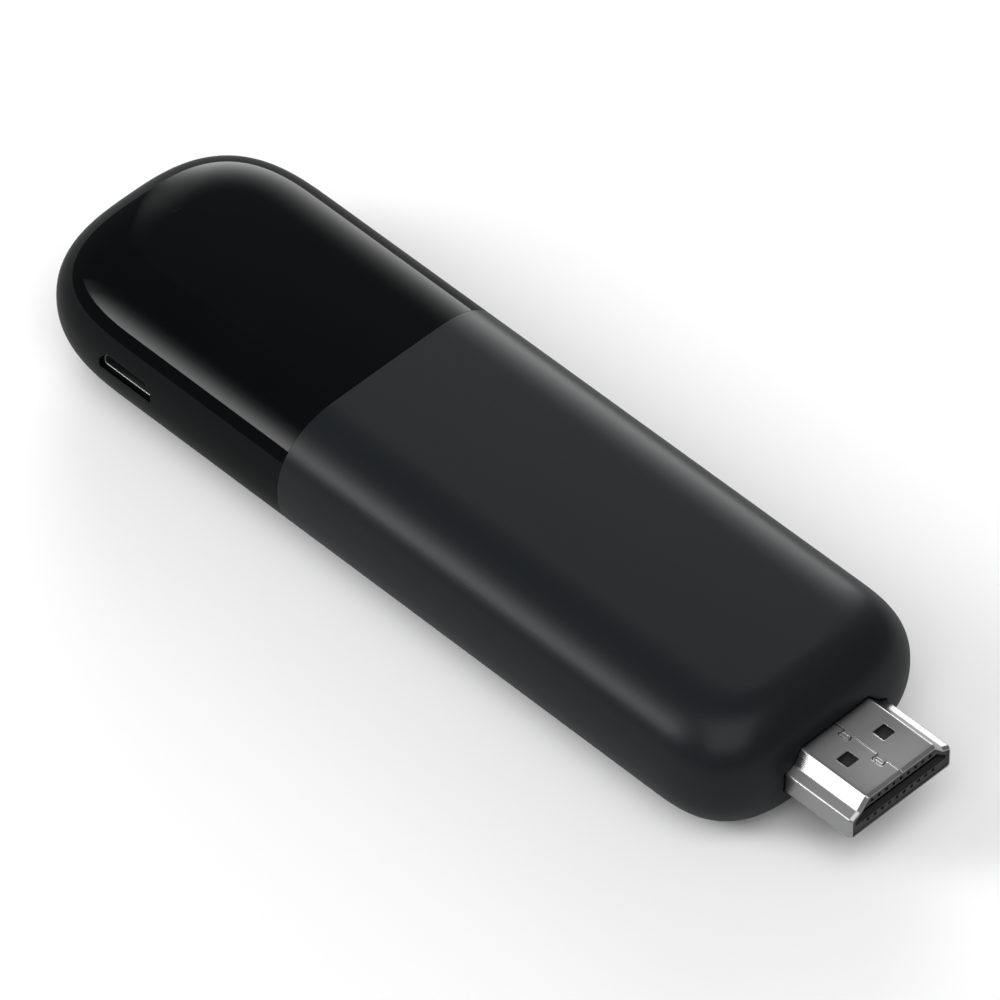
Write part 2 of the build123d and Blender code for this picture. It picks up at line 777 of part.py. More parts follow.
def shield_lid(centre_x, length, width, height, facing):
    """The sheet-metal lid that closes over a shield frame, its skirt outside the frame."""
    rise = solder_gap + height
    seat_z = board_top + rise if facing > 0 else board_low - rise
    low_z = seat_z - lid_skirt if facing > 0 else seat_z - shield_sheet
    hollow_z = seat_z - lid_skirt if facing > 0 else seat_z
    fit_length, fit_width = length + 2 * lid_gap, width + 2 * lid_gap
    outer = (fit_length + 2 * shield_sheet, fit_width + 2 * shield_sheet, low_z, lid_skirt + shield_sheet)
    with BuildPart() as lid:
        add(centred_block(centre_x, 0, *outer))
        add(centred_block(centre_x, 0, fit_length, fit_width, hollow_z, lid_skirt), mode=Mode.SUBTRACT)
        corners = lid.edges().filter_by(Axis.Z).sort_by(SortBy.LENGTH)[-4:]
        fillet(corners, radius=shield_sheet)
    return lid.part


# Shields: a frame and a lid above the board, and a frame and a lid below it
upper_shield = (lower_shield_x, upper_shield_length, upper_shield_width, upper_shield_height, 1)
lower_shield = (lower_shield_x, lower_shield_length, lower_shield_width, lower_shield_height, -1)
export(shield_frame(*upper_shield), "upper_shield_frame")
export(shield_lid(*upper_shield), "upper_shield_lid")
export(shield_frame(*lower_shield), "lower_shield_frame")
export(shield_lid(*lower_shield), "lower_shield_lid")

# Soft pads that carry heat from each chip to its lid, and from each lid to its heat spreader
upper_seat_z = board_top + solder_gap + upper_shield_height
lower_seat_z = board_low - solder_gap - lower_shield_height
processor_top_z = board_top + solder_gap + processor_height
flash_low_z = board_low - solder_gap - flash_height
upper_pad_z = upper_seat_z + shield_sheet
lower_pad_z = lower_seat_z - shield_sheet - lower_pad_thickness


def pad(centre_x, length, width, low_z, thickness):
    """A soft pad, a margin smaller all round than what it covers."""
    return centred_block(centre_x, 0, length - 2 * pad_margin, width - 2 * pad_margin, low_z, thickness)


processor_pad_thickness = upper_seat_z - processor_top_z
flash_pad_thickness = flash_low_z - lower_seat_z
export(
    pad(processor_x, processor_size, processor_size, processor_top_z, processor_pad_thickness),
    "processor_pad",
)
export(pad(lower_shield_x, flash_length, flash_width, lower_seat_z, flash_pad_thickness), "flash_pad")
export(
    pad(lower_shield_x, upper_shield_length, upper_shield_width, upper_pad_z, upper_pad_thickness),
    "upper_thermal_pad",
)
export(
    pad(lower_shield_x, lower_shield_length, lower_shield_width, lower_pad_z, lower_pad_thickness),
    "lower_thermal_pad",
)


def heat_spreader(shield_length, shield_width, low_z, high_z, facing):
    """An aluminium plate larger than its shield, grooved lengthwise in the face away from the board."""
    length, width = shield_length + 2 * spreader_overhang, shield_width + 2 * spreader_side_step
    groove_z = high_z if facing > 0 else low_z
    with BuildPart() as plate:
        add(centred_block(lower_shield_x, 0, length, width, low_z, high_z - low_z))
        fillet(plate.edges().filter_by(Axis.Z), radius=pad_margin)
        with BuildSketch(Plane.XY.offset(groove_z)):
            for y in row_of(spreader_groove_count, width / spreader_groove_count):
                with Locations((lower_shield_x, y)):
                    Rectangle(length, spreader_groove_width)
        extrude(amount=-facing * spreader_groove_depth, mode=Mode.SUBTRACT)
    return plate.part


# Heat spreaders: one between the upper pad and the sleeve's ceiling, one on the tray's floor
upper_spreader_z = upper_pad_z + upper_pad_thickness
upper_spreader = (upper_shield_length, upper_shield_width, upper_spreader_z, ceiling_z - spreader_top_gap, 1)
lower_spreader = (lower_shield_length, lower_shield_width, tray_floor_z, lower_pad_z, -1)
export(heat_spreader(*upper_spreader), "upper_heat_spreader")
export(heat_spreader(*lower_spreader), "lower_heat_spreader")
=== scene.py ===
from math import cos, pi, radians, sin

import bmesh
import bpy
import numpy as np
from mathutils import Matrix, Vector


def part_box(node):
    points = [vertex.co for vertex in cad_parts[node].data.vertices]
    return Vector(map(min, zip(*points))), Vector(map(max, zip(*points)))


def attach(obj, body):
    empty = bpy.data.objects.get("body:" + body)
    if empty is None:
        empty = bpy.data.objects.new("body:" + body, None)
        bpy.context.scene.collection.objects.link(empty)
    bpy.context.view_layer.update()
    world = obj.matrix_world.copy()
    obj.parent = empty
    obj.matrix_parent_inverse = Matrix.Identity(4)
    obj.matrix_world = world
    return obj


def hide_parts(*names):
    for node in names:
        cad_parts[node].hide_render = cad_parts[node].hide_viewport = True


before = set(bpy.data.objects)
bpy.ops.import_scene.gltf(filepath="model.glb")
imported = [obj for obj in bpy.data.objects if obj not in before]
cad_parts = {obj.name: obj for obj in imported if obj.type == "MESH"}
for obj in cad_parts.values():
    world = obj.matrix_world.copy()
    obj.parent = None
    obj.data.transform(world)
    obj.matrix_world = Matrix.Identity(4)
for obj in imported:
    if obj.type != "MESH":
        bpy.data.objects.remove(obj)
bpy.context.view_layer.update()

mm = 0.001

# Camera
# A long lens over the power-socket side and towards the plug end, looking down at the stick as in the
# photograph. Its place follows from the viewing angle and the distance to a point in the stick's middle.
view_azimuth = radians(45.228)
view_elevation = radians(46.641)
view_distance = 1154.6 * mm
view_target = Vector((-0.096, -0.138, 7.183)) * mm
film_width = 36.0
focal_length = 423.976
nearest_shown, farthest_shown = 10 * mm, 100.0

towards_camera = Vector((
    sin(view_azimuth) * cos(view_elevation),
    -cos(view_azimuth) * cos(view_elevation),
    sin(view_elevation),
))
camera_right = Vector((cos(view_azimuth), sin(view_azimuth), 0))
camera_up = towards_camera.cross(camera_right)
camera_data = bpy.data.cameras.new("camera")
camera_data.lens = focal_length
camera_data.sensor_width = film_width
camera_data.clip_start = nearest_shown
camera_data.clip_end = farthest_shown
camera = bpy.data.objects.new("camera", camera_data)
bpy.context.scene.collection.objects.link(camera)
axes = Matrix((camera_right, camera_up, towards_camera)).transposed().to_4x4()
camera.matrix_world = Matrix.Translation(view_target + towards_camera * view_distance) @ axes
bpy.context.scene.camera = camera


# End cap
# The glossy tail half of the stick's skin, a cup of black polycarbonate moulded in a polished steel tool.
# Its spigot slides 4 mm into the sleeve and snaps there, and its side is cut through for the power socket.
cap_low, cap_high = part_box("gloss_end_cap")
sleeve_low, sleeve_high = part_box("matte_sleeve")
tail_x = cap_low.x
seam_x = sleeve_low.x
spigot_end_x = cap_high.x
half_width = sleeve_high.y
half_height = sleeve_high.z / 2
side_round = 8.0 * mm
tail_round = 8.7 * mm
tail_corner = 7.1 * mm
plan_power = 2.85
edge_power = 2.22
crown = 0.08 * mm
crown_width = 8.5 * mm
housing_wall = 1.6 * mm
lap_wall = 0.75 * mm
lap_gap = 0.1 * mm
seam_break = 0.02 * mm


def signed_power(values, power):
    return np.sign(values) * np.abs(values) ** power


def edge_profile(levels):
    """Reach and height of the rounded edge, a superellipse: cos and sin of the level to the power 2/n."""
    power = 2 / edge_power
    return np.abs(np.cos(levels)) ** power, signed_power(np.sin(levels), power)


def crown_scale(y):
    """What heights above the middle are scaled by over Y, for the top's slight crown: it falls as the
    square of Y and levels off towards the sides, as 1 - crown share times (1 - exp(-(y / width)^2))."""
    return 1 - crown / half_height * (1 - np.exp(-(y / crown_width) ** 2))


def crowned(y, z):
    """Heights with the crown put in."""
    return half_height + (z - half_height) * np.where(z > half_height, crown_scale(y), 1)


class PillowEnd:
    """One end of the pillow form. At each height its outline is straight sides, two superelliptic corners
    and a straight end; the reach of sides and end beyond a fixed inner line shrinks with the edge profile."""

    def __init__(self, end_x, facing, end_round, corner, inset=0.0):
        self.facing, self.corner = facing, corner
        self.end_round, self.side_round = end_round - inset, side_round - inset
        self.half_height = half_height - inset
        self.centre_x = end_x - facing * (end_round + corner)
        self.side_y = half_width - side_round
        self.centre_y = self.side_y - corner

    def stations(self, straight_x, corner_steps, end_parts):
        """Inner line points and their outward reach, from the -Y side round the end to the +Y side.
        Corner points are the corner's depth times cos and sin of an angle to the power 2/m."""
        turn = np.linspace(pi / 2, 0, corner_steps + 1)
        run = np.abs(np.cos(turn)) ** (2 / plan_power)
        rise = np.abs(np.sin(turn)) ** (2 / plan_power)
        run[0], rise[-1] = 0, 0
        base = [np.stack([straight_x, np.full(len(straight_x), -self.side_y)], 1)]
        reach = [np.tile([0.0, -self.side_round], (len(straight_x), 1))]
        base.append(np.stack([
            self.centre_x + self.facing * self.corner * run, -self.centre_y - self.corner * rise], 1))
        reach.append(np.stack([self.facing * self.end_round * run, -self.side_round * rise], 1))
        end_y = self.centre_y * (2 * end_parts - 1)
        base.append(np.stack([np.full(len(end_y), self.centre_x + self.facing * self.corner), end_y], 1))
        reach.append(np.tile([self.facing * self.end_round, 0.0], (len(end_y), 1)))
        flip = np.array([1, -1])
        base += [part[::-1] * flip for part in base[1::-1]]
        reach += [part[::-1] * flip for part in reach[1::-1]]
        return np.concatenate(base), np.concatenate(reach)

    def wall(self, base, reach, levels):
        """Points of the rounded wall: inner line plus reach times the edge profile, at each level."""
        out, up = edge_profile(levels)
        plan = base[:, None, :] + reach[:, None, :] * out[None, :, None]
        height = crowned(plan[..., 1], half_height + self.half_height * up[None])
        return np.concatenate([plan, height[..., None]], 2)

    def edge_reach(self, y, z):
        """The edge profile's reach at a height: (1 - |height|^n)^(1/n), with heights as shares and the
        crown taken out."""
        level = (z - half_height) / np.where(z > half_height, crown_scale(y), 1)
        share = np.clip(np.abs(level) / self.half_height, 0, 1)
        return (1 - share ** edge_power) ** (1 / edge_power)

    def side_at(self, x, z):
        """The -Y side's surface over X and Z, from the corner's superellipse solved for Y."""
        out = self.edge_reach(half_width, z)
        along = np.clip(self.facing * (x - self.centre_x) / (self.corner + self.end_round * out), 0, 1)
        rise = (1 - along ** plan_power) ** (1 / plan_power)
        return -(self.centre_y + (self.corner + self.side_round * out) * rise)

    def end_at(self, y, z):
        """The end's surface over Y and Z, from the corner's superellipse solved for X."""
        out = self.edge_reach(y, z)
        across = np.clip((np.abs(y) - self.centre_y) / (self.corner + self.side_round * out), 0, 1)
        run = (1 - across ** plan_power) ** (1 / plan_power)
        return self.centre_x + self.facing * (self.corner + self.end_round * out) * run


def rounded_outline(corners, radius, arc_steps, count):
    """A closed outline of straight sides joined by arcs, with its outward normals. Arc points are the arc's
    centre plus the radius times a turning normal; what is left of the count goes to the sides by length."""
    corners = np.array(corners)
    ahead = np.roll(corners, -1, 0) - corners
    lengths = np.hypot(*ahead.T)
    heading = np.arctan2(ahead[:, 1], ahead[:, 0])
    before = np.roll(heading, 1)
    turn = (heading - before + pi) % (2 * pi) - pi
    cut = radius * np.tan(np.abs(turn) / 2)
    shares = lengths / lengths.sum() * (count - len(corners) * (arc_steps + 1))
    steps = np.floor(shares).astype(int)
    spare = count - len(corners) * (arc_steps + 1) - steps.sum()
    steps[np.argsort(steps - shares)[:spare]] += 1
    points, normals = [], []
    for k in range(len(corners)):
        angles = before[k] + turn[k] * np.linspace(0, 1, arc_steps + 1) - pi / 2
        out = np.stack([np.cos(angles), np.sin(angles)], 1)
        side = np.sign(turn[k])
        start = corners[k] - cut[k] * np.array([cos(before[k]), sin(before[k])])
        points.append(start + side * radius * (out - out[0]))
        normals.append(out)
        away = np.array([cos(heading[k]), sin(heading[k])])
        following = (k + 1) % len(corners)
        run = lengths[k] - cut[k] - cut[following]
        parts = np.linspace(0, 1, steps[k] + 2)[1:-1, None]
        points.append(corners[k] + away * (cut[k] + run * parts))
        normals.append(np.tile(out[-1], (steps[k], 1)))
    return np.concatenate(points), np.concatenate(normals)


class Shell:
    """A closed plastic shell: outer and inner skins of one pillow end, joined by rims at the open seam.
    Each skin is a grid of stations round the end by levels up the wall, with flat faces across between."""

    def __init__(self, levels, corner_steps, end_parts):
        self.levels, self.corner_steps, self.end_parts = levels, corner_steps, end_parts
        self.points, self.quads, self.count = [], [], 0

    def put(self, points):
        """Adds points and gives their numbers, in the same grid shape."""
        numbers = self.count + np.arange(points[..., 0].size).reshape(points.shape[:-1])
        self.points.append(points.reshape(-1, 3))
        self.count += numbers.size
        return numbers

    def grid(self, numbers, keep=None):
        """Quads between neighbours of a grid of numbers, but for those that a mask leaves out."""
        quads = np.stack([numbers[:-1, :-1], numbers[1:, :-1], numbers[1:, 1:], numbers[:-1, 1:]], -1)
        self.quads.append(quads[keep] if keep is not None else quads.reshape(-1, 4))

    def ring_bands(self, rings):
        """Quads between rings that each close on themselves."""
        rings = np.stack(rings)
        self.grid(np.concatenate([rings, rings[:, :1]], 1))

    def skin(self, form, straight_x, window=None):
        """One skin. Gives its seam loop, its wall's numbers and the numbers round its window."""
        base, reach = form.stations(straight_x, self.corner_steps, self.end_parts)
        wall_points = form.wall(base, reach, self.levels)
        wall = self.put(wall_points)
        last = len(base) - 1
        rows = len(straight_x) + self.corner_steps + 1
        keep = np.ones((last, len(self.levels) - 1), bool)
        if window:
            first_station, last_station, low, high = window
            keep[first_station:last_station, low:high] = False
        self.grid(wall, keep)
        parts = self.end_parts[None, :, None]
        loop_flats = []
        for level in (-1, 0):
            left = wall_points[:rows - 1, level][:, None]
            right = wall_points[::-1, level][:rows - 1][:, None]
            across = left + (right - left) * parts
            height = half_height + form.half_height * (1 if level else -1)
            across[..., 2] = crowned(across[..., 1], np.array(height))
            flat = self.put(across)
            sides = wall[:rows - 1, level][:, None], wall[::-1, level][:rows - 1][:, None]
            flat = np.concatenate([sides[0], flat, sides[1]], 1)
            end_row = wall[rows - 1:last - rows + 2, level]
            self.grid(np.concatenate([flat, end_row[None]]))
            loop_flats.append(flat[0, 1:-1])
        loop = np.concatenate([wall[0], loop_flats[0], wall[-1][::-1], loop_flats[1][::-1]])
        edge = None
        if window:
            edge = np.concatenate([
                wall[first_station:last_station, low], wall[last_station, low:high],
                wall[last_station:first_station:-1, high], wall[first_station, high:low:-1],
            ])
        return loop, edge

    def section(self, form, x):
        """The open end's loop at a place along the stick, in the same order as a skin's seam loop."""
        out, up = edge_profile(self.levels)
        z = half_height + form.half_height * up
        y = form.side_y + form.side_round * out
        flat_y = form.side_y * (2 * self.end_parts - 1)
        top, bottom = half_height + form.half_height, half_height - form.half_height
        loop_y = np.concatenate([-y, flat_y, y[::-1], flat_y[::-1]])
        loop_z = np.concatenate([z, np.full(len(flat_y), top), z[::-1], np.full(len(flat_y), bottom)])
        loop_z = crowned(loop_y, loop_z)
        return self.put(np.stack([np.full(len(loop_y), x), loop_y, loop_z], 1))

    def build(self, name):
        """The finished mesh object, its doubles merged and its faces turned outwards."""
        merge_distance, crease_angle = 1e-7, radians(35)
        points = np.concatenate(self.points)
        quads = np.concatenate(self.quads)
        mesh = bpy.data.meshes.new(name)
        mesh.from_pydata(points, [], quads)
        tidy = bmesh.new()
        tidy.from_mesh(mesh)
        bmesh.ops.remove_doubles(tidy, verts=tidy.verts, dist=merge_distance)
        bmesh.ops.recalc_face_normals(tidy, faces=tidy.faces)
        tidy.to_mesh(mesh)
        tidy.free()
        mesh.shade_smooth()
        mesh.set_sharp_from_angle(angle=crease_angle)
        piece = bpy.data.objects.new(name, mesh)
        bpy.context.scene.collection.objects.link(piece)
        return piece


def stacked(*columns):
    """Points from columns of X, Y and Z, of which some may be one number."""
    return np.stack(np.broadcast_arrays(*columns), -1)


def window_in(shell, form, straight_x, inside, low_z, high_z):
    """The stations and levels that bound a window, told by a test of X and Y and by two heights."""
    base, reach = form.stations(straight_x, shell.corner_steps, shell.end_parts)
    across = np.flatnonzero(inside(*(base + reach).T))
    heights = half_height + form.half_height * edge_profile(shell.levels)[1]
    up = np.flatnonzero((heights > low_z) & (heights < high_z))
    return across[0], across[-1], up[0], up[-1]


def fan_out(shell, surface, hole, edge, axes, steps=6):
    """Rings on a surface from a hole's outline out to a window's edge, spread evenly between them. The
    edge's numbers are first turned to start beside the hole's first point and run the same way round."""
    flat = np.concatenate(shell.points)[edge][:, axes]
    shape = (hole - hole.mean(0)) / np.ptp(hole, axis=0)
    frame_shape = (flat - flat.mean(0)) / np.ptp(flat, axis=0)
    orders = [np.roll(np.arange(len(edge))[::way], k) for way in (1, -1) for k in range(len(edge))]
    order = min(orders, key=lambda order: ((frame_shape[order] - shape) ** 2).sum())
    parts = np.linspace(0, 1, steps + 1)[:-1]
    rings = [shell.put(surface(*(hole + (flat[order] - hole) * part).T)) for part in parts]
    shell.ring_bands(rings + [edge[order]])
    return rings[0]


def softened_hole(shell, outer, inner, outline, normals, mouth, depths, spread, steps=4):
    """A hole through both skins: a quarter-round mouth, a straight wall to each depth, and a wall grown
    by a spread from the last depth to the inner skin. Outer gives the outside at a depth below it."""
    rings = []
    for angle in np.linspace(0, pi / 2, steps + 1):
        grow, depth = mouth * (1 - sin(angle)), mouth * (1 - cos(angle))
        rings.append(shell.put(outer(*(outline + normals * grow).T, depth)))
    for depth, grow in depths:
        rings.append(shell.put(outer(*(outline + normals * grow).T, depth)))
    rings.append(shell.put(inner(*(outline + normals * spread).T)))
    shell.ring_bands(rings)


def linear(hex_colour):
    """An sRGB hex colour as linear red, green, blue and full alpha."""
    values = np.array([int(hex_colour[k:k + 2], 16) for k in (0, 2, 4)]) / 255
    bright = ((values + 0.055) / 1.055) ** 2.4
    return (*np.where(values <= 0.04045, values / 12.92, bright).tolist(), 1.0)


def add_node(tree, kind, settings, sockets):
    """A new node with its own settings, and sockets that are set to a value or linked to an output."""
    node = tree.nodes.new(kind)
    for name, value in settings.items():
        setattr(node, name, value)
    for name, value in sockets.items():
        if isinstance(value, bpy.types.NodeSocket):
            tree.links.new(value, node.inputs[name])
        else:
            node.inputs[name].default_value = value
    return node


def new_material(name):
    """An empty node material: its tree, its texture place and itself."""
    material = bpy.data.materials.new(name)
    material.use_nodes = True
    tree = material.node_tree
    tree.nodes.clear()
    return tree, add_node(tree, "ShaderNodeTexCoord", {}, {}), material


def finish_surface(tree, sockets):
    """A plain surface shader with these sockets, linked to the material's output."""
    shader = add_node(tree, "ShaderNodeBsdfPrincipled", {}, sockets)
    add_node(tree, "ShaderNodeOutputMaterial", {}, {"Surface": shader.outputs["BSDF"]})


# The polished tool leaves a mirror skin over deep black, with a flow so slight that only long highlights
# waver. The clear coat is the mirror, and the body under it keeps no gloss of its own.
tree, place, gloss_polycarbonate = new_material("gloss_black_polycarbonate")
moulding_flow, flow_depth = 9 * mm, 0.004 * mm
flow = add_node(tree, "ShaderNodeTexNoise", {}, {
    "Vector": place.outputs["Object"], "Scale": 1 / moulding_flow, "Detail": 1.0,
})
ripple = add_node(tree, "ShaderNodeBump", {}, {
    "Height": flow.outputs["Fac"], "Strength": 1.0, "Distance": flow_depth,
})
tone = add_node(tree, "ShaderNodeMix", {"data_type": "RGBA"}, {
    0: flow.outputs["Fac"], 6: linear("020405"), 7: linear("050708"),
})
finish_surface(tree, {
    "Base Color": tone.outputs[2], "Roughness": 0.36, "Specular IOR Level": 0.0,
    "Coat Weight": 0.19, "Coat Roughness": 0.03, "Coat IOR": 1.5, "Coat Normal": ripple.outputs["Normal"],
})

# How many steps the housing's curves are drawn in: up the wall, across the end, round a corner, along the
# straight sides, and round a corner of an opening.
wall_steps = 72
end_steps = 17
corner_steps = 48
run_steps = 40
bend_steps = 5
wall_levels = np.linspace(-pi / 2, pi / 2, wall_steps + 1)
end_parts = np.linspace(0, 1, end_steps + 1)[1:-1]
seam_rim_inset = lap_wall + lap_gap

port_low, port_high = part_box("power_socket_shell")
port_x = (port_low.x + port_high.x) / 2
port_base_z = port_low.z
port_half_width = 3.65 * mm
port_top_half_width = 2.8 * mm
port_side_height = 1.1 * mm
port_height = 2.2 * mm
port_corner = 0.25 * mm
port_mouth = 0.09 * mm
port_wall = 0.45 * mm
port_channel_gap = 0.1 * mm
port_window_reach = 5.1 * mm
port_window_margin = 1.6 * mm

cap_outside = PillowEnd(tail_x, -1, tail_round, tail_corner)
cap_inside = PillowEnd(tail_x, -1, tail_round, tail_corner, housing_wall)
cap_shell = Shell(wall_levels, corner_steps, end_parts)


def beside_port(x, y):
    return (np.abs(x - port_x) < port_window_reach) & (y < 0)


def cap_side(x, z, depth=0.0):
    """The cap's outside on the socket's side over X and Z, moved inwards by a depth."""
    return stacked(x, cap_outside.side_at(x, z) + depth, z)


def cap_side_inside(x, z):
    """The cap's inside on the socket's side over X and Z."""
    return stacked(x, cap_inside.side_at(x, z), z)


outer_run = np.linspace(seam_x - seam_break, cap_outside.centre_x, run_steps + 1)[:-1]
inner_run = np.linspace(spigot_end_x, cap_inside.centre_x, run_steps + 1)[:-1]
port_window = window_in(
    cap_shell, cap_outside, outer_run, beside_port,
    port_base_z - port_window_margin, port_base_z + port_height + port_window_margin,
)
outer_loop, outer_edge = cap_shell.skin(cap_outside, outer_run, port_window)
inner_loop, inner_edge = cap_shell.skin(cap_inside, inner_run, port_window)
cap_shell.ring_bands([
    outer_loop,
    cap_shell.section(PillowEnd(tail_x, -1, tail_round, tail_corner, seam_break), seam_x),
    cap_shell.section(PillowEnd(tail_x, -1, tail_round, tail_corner, seam_rim_inset), seam_x),
    cap_shell.section(PillowEnd(tail_x, -1, tail_round, tail_corner, seam_rim_inset), spigot_end_x),
    inner_loop,
])
port_outline, port_normals = rounded_outline([
    (port_x - port_half_width, port_base_z), (port_x + port_half_width, port_base_z),
    (port_x + port_half_width, port_base_z + port_side_height),
    (port_x + port_top_half_width, port_base_z + port_height),
    (port_x - port_top_half_width, port_base_z + port_height),
    (port_x - port_half_width, port_base_z + port_side_height),
], port_corner, bend_steps, len(outer_edge))
fan_out(cap_shell, cap_side, port_outline + port_normals * port_mouth, outer_edge, [0, 2])
fan_out(cap_shell, cap_side_inside, port_outline + port_normals * port_channel_gap, inner_edge, [0, 2])
softened_hole(
    cap_shell, cap_side, cap_side_inside, port_outline, port_normals, port_mouth,
    [(port_wall, 0), (port_wall, port_channel_gap)], port_channel_gap,
)
cap = cap_shell.build("end_cap")
cap.data.materials.append(gloss_polycarbonate)
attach(cap, "root")
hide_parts("gloss_end_cap")


# Sleeve
# The matte plug half of the skin, a sleeve of black ABS moulded in a spark-eroded tool. It is pushed over
# the cap's spigot, flush with the cap's outside, and its end is cut through for the plug.
body_end_x = sleeve_high.x
plug_end_round = 6.15 * mm
plug_end_corner = 4.6 * mm
plug_low, plug_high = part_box("plug_shell")
plug_base_z = plug_low.z
plug_half_width = plug_high.y
plug_height = plug_high.z - plug_low.z
plug_side_height = 2.6 * mm
plug_shoulder_height = 3.15 * mm
plug_shoulder_half = 5.85 * mm
plug_top_half = 4.65 * mm
plug_corner = 0.3 * mm
opening_gap = 0.12 * mm
opening_mouth = 0.15 * mm
opening_window_reach = 8.6 * mm
opening_window_margin = 1.5 * mm

# Spark erosion leaves a fine even grain of pits, which spreads each highlight into a wide soft band. The
# real pits are about 0.06 mm wide, and are drawn three times as wide so that they show.
tree, place, spark_grained_abs = new_material("spark_grained_black_abs")
drawn_pit, pit_depth = 0.18 * mm, 0.02 * mm
pits = add_node(tree, "ShaderNodeTexNoise", {}, {
    "Vector": place.outputs["Object"], "Scale": 1 / drawn_pit, "Detail": 2.0, "Roughness": 0.6,
})
grain = add_node(tree, "ShaderNodeBump", {}, {
    "Height": pits.outputs["Fac"], "Strength": 0.35, "Distance": pit_depth,
})
tone = add_node(tree, "ShaderNodeMix", {"data_type": "RGBA"}, {
    0: pits.outputs["Fac"], 6: linear("131618"), 7: linear("1A1E20"),
})
gloss = add_node(tree, "ShaderNodeMapRange", {}, {
    "Value": pits.outputs["Fac"], "From Min": 0.3, "From Max": 0.7, "To Min": 0.66, "To Max": 0.54,
})
finish_surface(tree, {
    "Base Color": tone.outputs[2], "Roughness": gloss.outputs["Result"], "Specular IOR Level": 0.0,
    "Coat Weight": 0.32, "Coat Roughness": 0.33, "Coat IOR": 1.5,
    "Normal": grain.outputs["Normal"], "Coat Normal": grain.outputs["Normal"],
})

sleeve_outside = PillowEnd(body_end_x, 1, plug_end_round, plug_end_corner)
sleeve_inside = PillowEnd(body_end_x, 1, plug_end_round, plug_end_corner, housing_wall)
sleeve_shell = Shell(wall_levels, corner_steps, end_parts)


def around_plug(x, y):
    return (np.abs(y) < opening_window_reach) & (x > sleeve_outside.centre_x)


def sleeve_end(y, z, depth=0.0):
    """The sleeve's outside at the plug end over Y and Z, moved inwards by a depth."""
    return stacked(sleeve_outside.end_at(y, z) - depth, y, z)


def sleeve_end_inside(y, z):
    """The sleeve's inside at the plug end over Y and Z."""
    return stacked(sleeve_inside.end_at(y, z), y, z)


outer_run = np.linspace(seam_x + seam_break, sleeve_outside.centre_x, run_steps + 1)[:-1]
inner_run = np.linspace(spigot_end_x + lap_gap, sleeve_inside.centre_x, run_steps + 1)[:-1]
plug_window = window_in(
    sleeve_shell, sleeve_outside, outer_run, around_plug,
    plug_base_z - opening_window_margin, plug_base_z + plug_height + opening_window_margin,
)
outer_loop, outer_edge = sleeve_shell.skin(sleeve_outside, outer_run, plug_window)
inner_loop, inner_edge = sleeve_shell.skin(sleeve_inside, inner_run, plug_window)
sleeve_lap = PillowEnd(body_end_x, 1, plug_end_round, plug_end_corner, lap_wall)
sleeve_shell.ring_bands([
    outer_loop,
    sleeve_shell.section(PillowEnd(body_end_x, 1, plug_end_round, plug_end_corner, seam_break), seam_x),
    sleeve_shell.section(sleeve_lap, seam_x),
    sleeve_shell.section(sleeve_lap, spigot_end_x + lap_gap),
    inner_loop,
])
plug_outline, plug_normals = rounded_outline([
    (-plug_half_width, plug_base_z), (plug_half_width, plug_base_z),
    (plug_half_width, plug_base_z + plug_side_height),
    (plug_shoulder_half, plug_base_z + plug_shoulder_height),
    (plug_top_half, plug_base_z + plug_height), (-plug_top_half, plug_base_z + plug_height),
    (-plug_shoulder_half, plug_base_z + plug_shoulder_height),
    (-plug_half_width, plug_base_z + plug_side_height),
], plug_corner, bend_steps, len(outer_edge))
opening_outline = plug_outline + plug_normals * opening_gap
fan_out(sleeve_shell, sleeve_end, opening_outline + plug_normals * opening_mouth, outer_edge, [1, 2])
fan_out(sleeve_shell, sleeve_end_inside, opening_outline, inner_edge, [1, 2])
softened_hole(
    sleeve_shell, sleeve_end, sleeve_end_inside, opening_outline, plug_normals, opening_mouth, [], 0)
sleeve = sleeve_shell.build("sleeve")
sleeve.data.materials.append(spark_grained_abs)
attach(sleeve, "root")
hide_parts("matte_sleeve")


# Plug and socket shells
# Steel sheet, 0.3 and 0.25 mm thick, cut and folded into a sleeve round each connector, with dovetailed
# ends that meet in the plug's top. Both are nickel-plated after folding and latched to their insulators.

# Satin nickel over rolled steel mirrors the room softly, a little drawn out by the sheet's lengthwise grain.
# Plating rounds every cut edge and the seam, which then catch the light as thin bright lines.
tree, place, satin_nickel = new_material("satin_nickel_plate")
rolling_line, rolling_length, plating_cloud = 0.12 * mm, 4 * mm, 8 * mm
rolled = add_node(tree, "ShaderNodeMapping", {}, {
    "Vector": place.outputs["Object"], "Scale": (1 / rolling_length, 1 / rolling_line, 1 / rolling_line),
})
lines = add_node(tree, "ShaderNodeTexNoise", {}, {
    "Vector": rolled.outputs["Vector"], "Scale": 1.0, "Detail": 3.0, "Roughness": 0.55,
})
clouds = add_node(tree, "ShaderNodeTexNoise", {}, {
    "Vector": place.outputs["Object"], "Scale": 1 / plating_cloud, "Detail": 1.0,
})
tone = add_node(tree, "ShaderNodeMix", {"data_type": "RGBA"}, {
    0: clouds.outputs["Fac"], 6: linear("8E8E90"), 7: linear("9C9C9C"),
})
blur = add_node(tree, "ShaderNodeMapRange", {}, {
    "Value": clouds.outputs["Fac"], "From Min": 0.2, "From Max": 0.8, "To Min": 0.22, "To Max": 0.38,
})
plated_edge_round, line_depth = 0.18 * mm, 0.001 * mm
edges = add_node(tree, "ShaderNodeBevel", {"samples": 8}, {"Radius": plated_edge_round})
grain = add_node(tree, "ShaderNodeBump", {}, {
    "Height": lines.outputs["Fac"], "Strength": 0.05, "Distance": line_depth,
    "Normal": edges.outputs["Normal"],
})
finish_surface(tree, {
    "Base Color": tone.outputs[2], "Metallic": 1.0, "Roughness": blur.outputs["Result"],
    "Normal": grain.outputs["Normal"],
})
